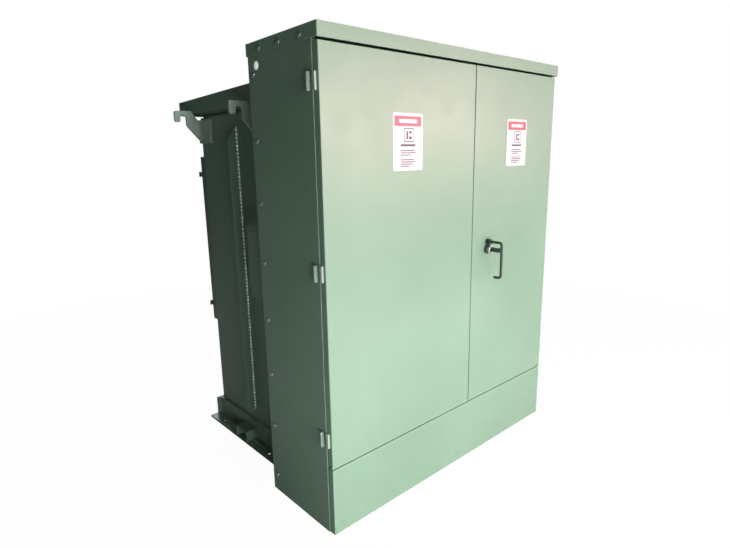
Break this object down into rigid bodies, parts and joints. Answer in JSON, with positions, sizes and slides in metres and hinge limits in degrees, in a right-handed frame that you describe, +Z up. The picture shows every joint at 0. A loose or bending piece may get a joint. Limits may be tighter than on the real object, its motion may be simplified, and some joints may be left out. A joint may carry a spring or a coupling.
{
  "type": "pad-mounted transformer",
  "caption": "Green pad-mounted distribution transformer: two-door terminal cabinet bolted to a sealed tank with lifting hooks, jacking brackets and rear radiator.",
  "frame": {"origin": "on the pad, under the middle of the tank's base plate", "axes": "+Z up, the cabinet doors face -Y, +X to the right when facing the doors"},
  "size_m": [1.4426, 1.424, 1.78],
  "materials": {
    "painted_green": "satin enamel",
    "hook_paint": "satin enamel",
    "zinc": "zinc plated",
    "stainless": "brushed stainless",
    "steel": "bare steel",
    "core_steel": "laminated steel",
    "copper": "paper-wrapped conductor",
    "gasket": "cork rubber",
    "epoxy": "moulded epoxy rubber",
    "epoxy_brown": "cast epoxy",
    "label": "vinyl label",
    "tinned": "tinned",
    "bronze": "cast bronze",
    "needle": "painted pointer",
    "fibre": "fibreglass"
  },
  "bodies": {
    "transformer": {"back_frame": "painted_green", "base_band": "painted_green", "base_plate": "painted_green", "cabinet_bolts": "zinc", "cabinet_hinges_left": "stainless", "cabinet_hinges_right": "stainless", "cabinet_hood": "painted_green", "cabinet_side_left": "painted_green", "cabinet_side_right": "painted_green", "compartment_barrier": "painted_green", "core": "core_steel", "core_clamps": "steel", "cover_bolts": "zinc", "cover_gasket": "gasket", "drain_valve": "bronze", "front_sill": "painted_green", "fuse_housings": "epoxy", "gauge_bodies": "stainless", "ground_pads": "stainless", "header_rail": "painted_green", "hv_bushing_wells": "epoxy", "jacking_brackets": "painted_green", "knob_seats": "stainless", "lifting_hooks": "hook_paint", "lv_bushings": "epoxy_brown", "lv_spades": "tinned", "nameplate": "stainless", "parking_stands": "zinc", "radiator_fins": "painted_green", "radiator_headers": "painted_green", "relief_valve": "stainless", "side_box": "hook_paint", "tank_cover": "painted_green", "tank_shell": "painted_green", "tank_stiffeners": "painted_green", "weather_cover": "painted_green", "windings": "copper"},
    "hv_door": {"hv_door_panel": "painted_green", "hv_door_frame": "painted_green", "hv_door_hinges": "stainless", "hv_door_label": "label"},
    "lv_door": {"lv_door_panel": "painted_green", "lv_door_frame": "painted_green", "lv_door_hinges": "stainless", "lv_door_label": "label", "handle_boss": "painted_green"},
    "handle": {"door_handle": "painted_green", "latch_cam": "zinc"},
    "rod_top": {"latch_rod_top": "zinc"},
    "rod_bottom": {"latch_rod_bottom": "zinc"},
    "hv_stay": {"hv_door_stay": "zinc"},
    "lv_stay": {"lv_door_stay": "zinc"},
    "fuse_1": {"fuse_holder_1": "fibre"},
    "fuse_2": {"fuse_holder_2": "fibre"},
    "fuse_3": {"fuse_holder_3": "fibre"},
    "switch": {"switch_handle": "fibre"},
    "tap": {"tap_handle": "fibre"},
    "lever": {"valve_lever": "zinc"},
    "level_pointer": {"level_needle": "needle"},
    "temperature_pointer": {"temperature_needle": "needle"}
  },
  "joints": [
    {"name": "hv_door_hinge", "type": "hinge", "parent": "transformer", "child": "hv_door", "pos_m": [-0.7143, -0.75, 0.997], "axis": [0, 0, -1], "range_deg": [0, 120]},
    {"name": "lv_door_hinge", "type": "hinge", "parent": "transformer", "child": "lv_door", "pos_m": [0.7143, -0.75, 0.997], "axis": [0, 0, 1], "range_deg": [0, 120]},
    {"name": "handle_turn", "type": "hinge", "parent": "lv_door", "child": "handle", "pos_m": [0.198, -0.792, 0.968], "axis": [0, -1, 0], "range_deg": [0, 90]},
    {"name": "rod_top_slide", "type": "slide", "parent": "lv_door", "child": "rod_top", "axis": [0, 0, -1], "range_m": [0, 0.0205]},
    {"name": "rod_bottom_slide", "type": "slide", "parent": "lv_door", "child": "rod_bottom", "axis": [0, 0, 1], "range_m": [0, 0.0205]},
    {"name": "hv_stay_swing", "type": "hinge", "parent": "hv_door", "child": "hv_stay", "pos_m": [-0.15, -0.764, 0.711], "axis": [0, 1, 0], "range_deg": [0, 90]},
    {"name": "lv_stay_swing", "type": "hinge", "parent": "lv_door", "child": "lv_stay", "pos_m": [0.569, -0.764, 0.711], "axis": [0, 1, 0], "range_deg": [0, 90]},
    {"name": "fuse_1_draw", "type": "slide", "parent": "transformer", "child": "fuse_1", "axis": [0, -1, 0], "range_m": [0, 0.22]},
    {"name": "fuse_2_draw", "type": "slide", "parent": "transformer", "child": "fuse_2", "axis": [0, -1, 0], "range_m": [0, 0.22]},
    {"name": "fuse_3_draw", "type": "slide", "parent": "transformer", "child": "fuse_3", "axis": [0, -1, 0], "range_m": [0, 0.22]},
    {"name": "switch_turn", "type": "hinge", "parent": "transformer", "child": "switch", "pos_m": [-0.021, -0.381, 1.27], "axis": [0, -1, 0], "range_deg": [0, 90]},
    {"name": "tap_turn", "type": "hinge", "parent": "transformer", "child": "tap", "pos_m": [-0.021, -0.381, 1.11], "axis": [0, -1, 0], "range_deg": [0, 120]},
    {"name": "valve_turn", "type": "hinge", "parent": "transformer", "child": "lever", "pos_m": [0.41, -0.4305, 0.14], "axis": [0, 0, 1], "range_deg": [0, 90]},
    {"name": "level_dial", "type": "hinge", "parent": "transformer", "child": "level_pointer", "pos_m": [0.169, -0.381, 1.33], "axis": [0, -1, 0], "range_deg": [-60, 60]},
    {"name": "temperature_dial", "type": "hinge", "parent": "transformer", "child": "temperature_pointer", "pos_m": [0.299, -0.381, 1.33], "axis": [0, -1, 0], "range_deg": [-130, 130]}
  ],
  "couplings": [
    {"joint": "rod_top_slide", "follows": "handle_turn", "m_per_rad": 0.012732},
    {"joint": "rod_bottom_slide", "follows": "handle_turn", "m_per_rad": 0.012732}
  ]
}
